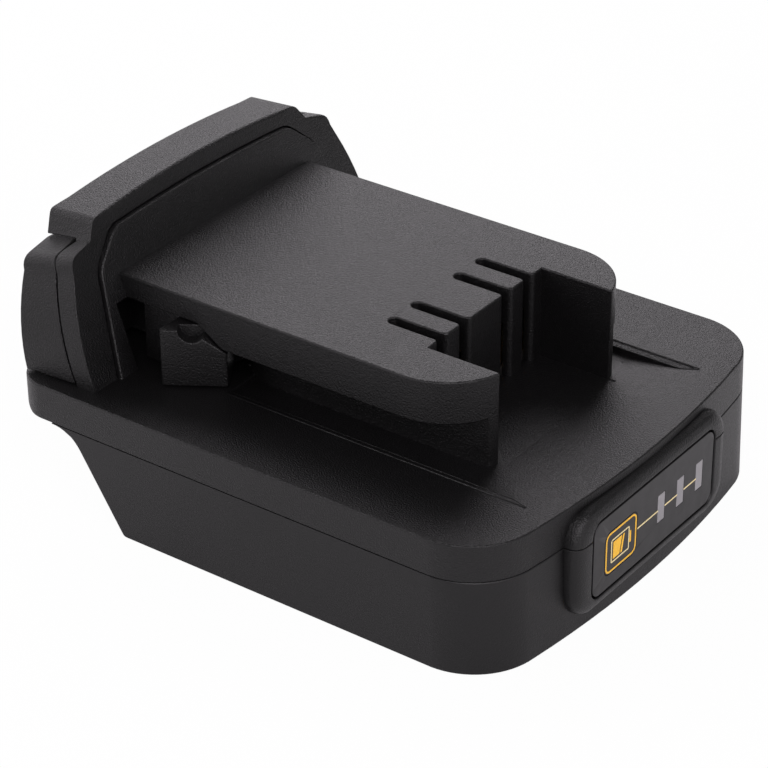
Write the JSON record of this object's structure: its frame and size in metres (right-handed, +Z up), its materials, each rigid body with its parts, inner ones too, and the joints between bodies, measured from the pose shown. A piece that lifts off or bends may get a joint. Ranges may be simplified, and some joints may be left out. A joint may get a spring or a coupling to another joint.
{
  "type": "tool battery adapter",
  "caption": "Slide-on battery adapter for cordless tools: rail tower with terminal slots and side release latches on top, pack receiver underneath, charge gauge in front.",
  "frame": {"origin": "Middle of the bounding box, on the plane the underside rests on", "axes": "+X along the body towards the charge gauge, +Y to the left seen from the rear, +Z up towards the tool"},
  "size_m": [0.0962, 0.078, 0.0464],
  "materials": {
    "shell_plastic": "fine spark-eroded grain",
    "skirt_plastic": "satin",
    "latch_plastic": "coarse spark-eroded grain",
    "spring_steel": "drawn wire",
    "carrier_plastic": "matte",
    "contact_brass": "rolled strip",
    "screw_steel": "plated",
    "wire_red": "insulation",
    "wire_black": "insulation",
    "wire_white": "insulation",
    "wire_blue": "insulation",
    "circuit_board": "solder mask over fibreglass",
    "led_plastic": "clear moulded",
    "chip_plastic": "moulded epoxy",
    "panel_plastic": "dark satin film",
    "guide_plastic": "frosted"
  },
  "bodies": {
    "housing": {"upper_shell": "shell_plastic", "lower_shell": "skirt_plastic", "head_cover": "shell_plastic", "clip_carrier": "carrier_plastic", "tool_clip_positive": "contact_brass", "tool_clip_negative": "contact_brass", "tool_clip_sense": "contact_brass", "tool_clip_temp": "contact_brass", "carrier_screw": "screw_steel", "divider_plate": "carrier_plastic", "blade_block": "carrier_plastic", "blade_positive": "contact_brass", "blade_negative": "contact_brass", "blade_sense": "contact_brass", "blade_temp": "contact_brass", "wire_positive": "wire_red", "wire_negative": "wire_black", "wire_sense": "wire_white", "wire_temp": "wire_blue", "gauge_lead_positive": "wire_red", "gauge_lead_negative": "wire_black", "gauge_board": "circuit_board", "gauge_leds": "led_plastic", "gauge_chip": "chip_plastic", "tact_switch": "chip_plastic", "gauge_panel": "panel_plastic", "light_guide": "guide_plastic", "case_screws": "screw_steel", "head_screws": "screw_steel", "latch_spring_left": "spring_steel", "latch_spring_right": "spring_steel"},
    "left_latch": {"latch_left": "latch_plastic"},
    "right_latch": {"latch_right": "latch_plastic"},
    "gauge_key": {"gauge_button": "panel_plastic", "switch_plunger": "led_plastic"}
  },
  "joints": [
    {"name": "left_latch_slide", "type": "slide", "parent": "housing", "child": "left_latch", "axis": [0, 1, 0], "range_m": [0, 0.0046], "stiffness_N_per_m": 600, "springref_m": -0.004, "deforming": ["latch_spring_left"]},
    {"name": "right_latch_slide", "type": "slide", "parent": "housing", "child": "right_latch", "axis": [0, -1, 0], "range_m": [0, 0.0046], "stiffness_N_per_m": 600, "springref_m": -0.004, "deforming": ["latch_spring_right"]},
    {"name": "gauge_key_press", "type": "slide", "parent": "housing", "child": "gauge_key", "axis": [-1, 0, 0], "range_m": [0, 0.0004], "stiffness_N_per_m": 2000, "springref_m": -0.0003}
  ]
}
